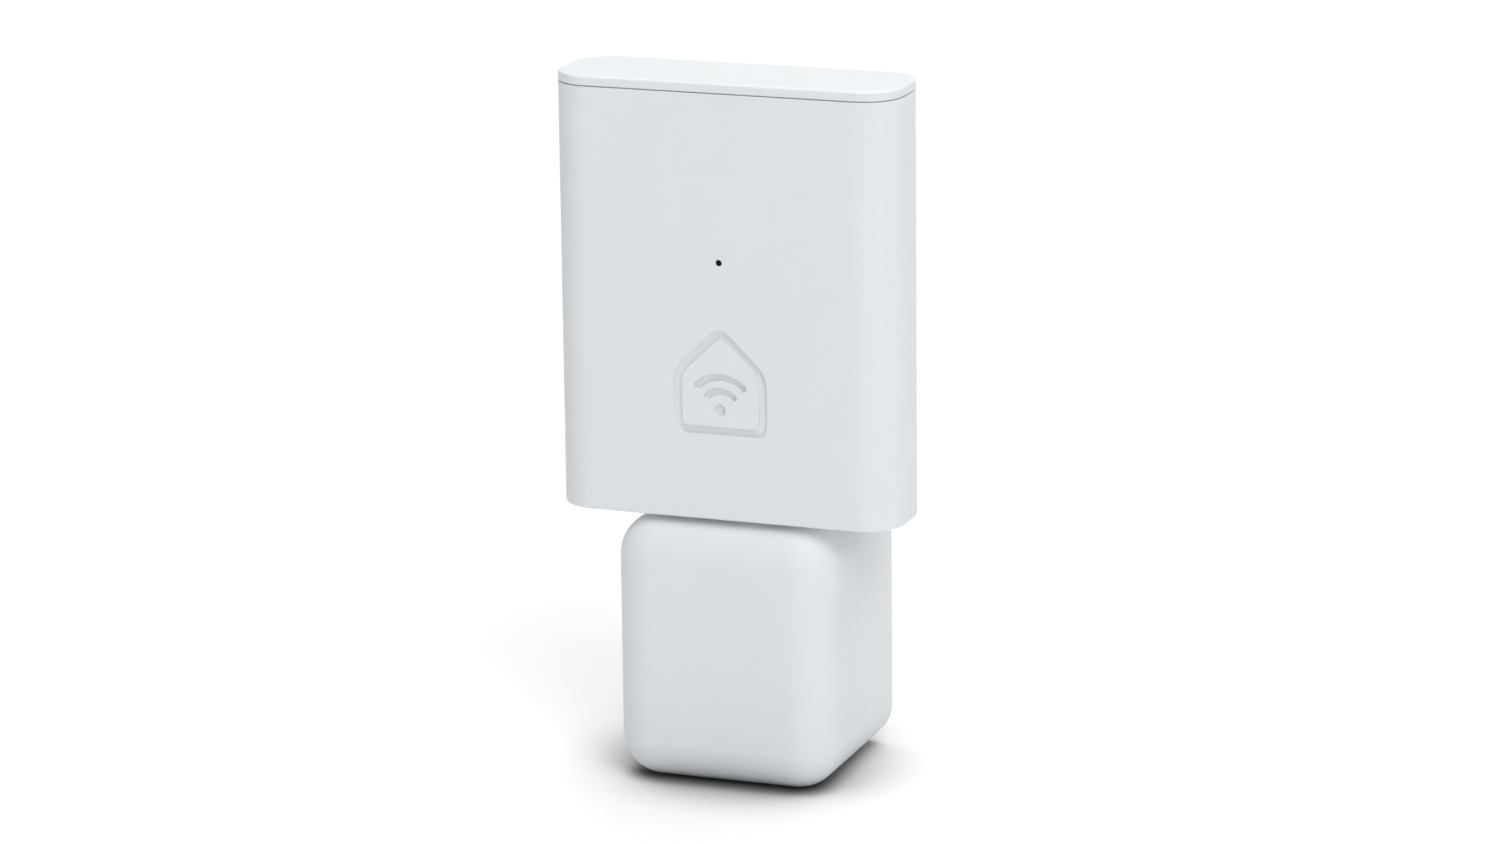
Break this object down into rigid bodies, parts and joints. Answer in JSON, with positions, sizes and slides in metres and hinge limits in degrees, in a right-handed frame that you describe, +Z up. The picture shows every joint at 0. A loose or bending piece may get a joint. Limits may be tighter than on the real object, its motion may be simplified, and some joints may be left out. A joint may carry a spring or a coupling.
{
  "type": "smart home hub",
  "caption": "Slab-shaped wireless smart home hub with a status light and a pressed-in house mark, plugged by USB-A into the top of a rounded cube wall adapter with flat mains blades.",
  "frame": {"origin": "centre of the adapter's underside, on the surface it stands on", "axes": "+Z up through the adapter and the hub; -Y is the hub's marked front face; +Y is the adapter's outlet side with the mains blades; +X is to the right seen from the front"},
  "size_m": [0.045, 0.0421, 0.09],
  "materials": {
    "white_plastic": "satin moulded",
    "nickel": "nickel plated",
    "spring_bronze": "satin",
    "gold_plate": "bright",
    "black_insulator": "matte",
    "port_insulator": "matte",
    "ferrite": "matte",
    "winding_tape": "satin",
    "adapter_board": "satin",
    "hub_board": "gloss",
    "module_board": "gloss",
    "capacitor_sleeve": "gloss",
    "output_sleeve": "gloss",
    "safety_coat": "gloss",
    "resistor_coat": "satin",
    "chip_resin": "matte",
    "tin_shield": "satin",
    "capacitor_can": "satin",
    "led_lens": "gloss",
    "light_pipe": "gloss"
  },
  "bodies": {
    "adapter": {"adapter_shell": "white_plastic", "adapter_back_plate": "white_plastic", "prong_left": "nickel", "prong_right": "nickel", "prong_contact_left": "spring_bronze", "prong_contact_right": "spring_bronze", "adapter_main_board": "adapter_board", "usb_port_board": "adapter_board", "usb_port_shell": "nickel", "usb_port_tongue": "port_insulator", "usb_port_contact_1": "gold_plate", "usb_port_contact_2": "gold_plate", "usb_port_contact_3": "gold_plate", "usb_port_contact_4": "gold_plate", "transformer_core_left": "ferrite", "transformer_core_right": "ferrite", "transformer_bobbin": "black_insulator", "transformer_winding": "winding_tape", "input_capacitor_1": "capacitor_sleeve", "input_capacitor_2": "capacitor_sleeve", "output_capacitor": "output_sleeve", "safety_capacitor": "safety_coat", "fusible_resistor": "resistor_coat", "input_inductor": "ferrite", "bridge_rectifier": "chip_resin", "switching_controller": "chip_resin"},
    "hub": {"hub_housing": "white_plastic", "hub_top_cap": "white_plastic", "hub_main_board": "hub_board", "wifi_module_board": "module_board", "wifi_module_shield": "tin_shield", "wifi_antenna": "gold_plate", "radio_shield": "tin_shield", "flash_chip": "chip_resin", "clock_crystal": "tin_shield", "voltage_regulator": "chip_resin", "power_inductor": "ferrite", "hub_capacitor_1": "capacitor_can", "hub_capacitor_2": "capacitor_can", "status_led": "led_lens", "led_light_pipe": "light_pipe", "usb_plug_shell": "nickel", "usb_plug_insulator": "black_insulator", "usb_plug_contact_1": "gold_plate", "usb_plug_contact_2": "gold_plate", "usb_plug_contact_3": "gold_plate", "usb_plug_contact_4": "gold_plate", "reset_switch_body": "chip_resin"},
    "reset_button": {"reset_button": "white_plastic", "reset_switch_plunger": "black_insulator"}
  },
  "joints": [
    {"name": "hub_unplug", "type": "slide", "parent": "adapter", "child": "hub", "axis": [0, 0, 1], "range_m": [0, 0.015]},
    {"name": "reset_press", "type": "slide", "parent": "hub", "child": "reset_button", "axis": [0, -1, 0], "range_m": [0, 0.00025], "stiffness_N_per_m": 1200}
  ]
}
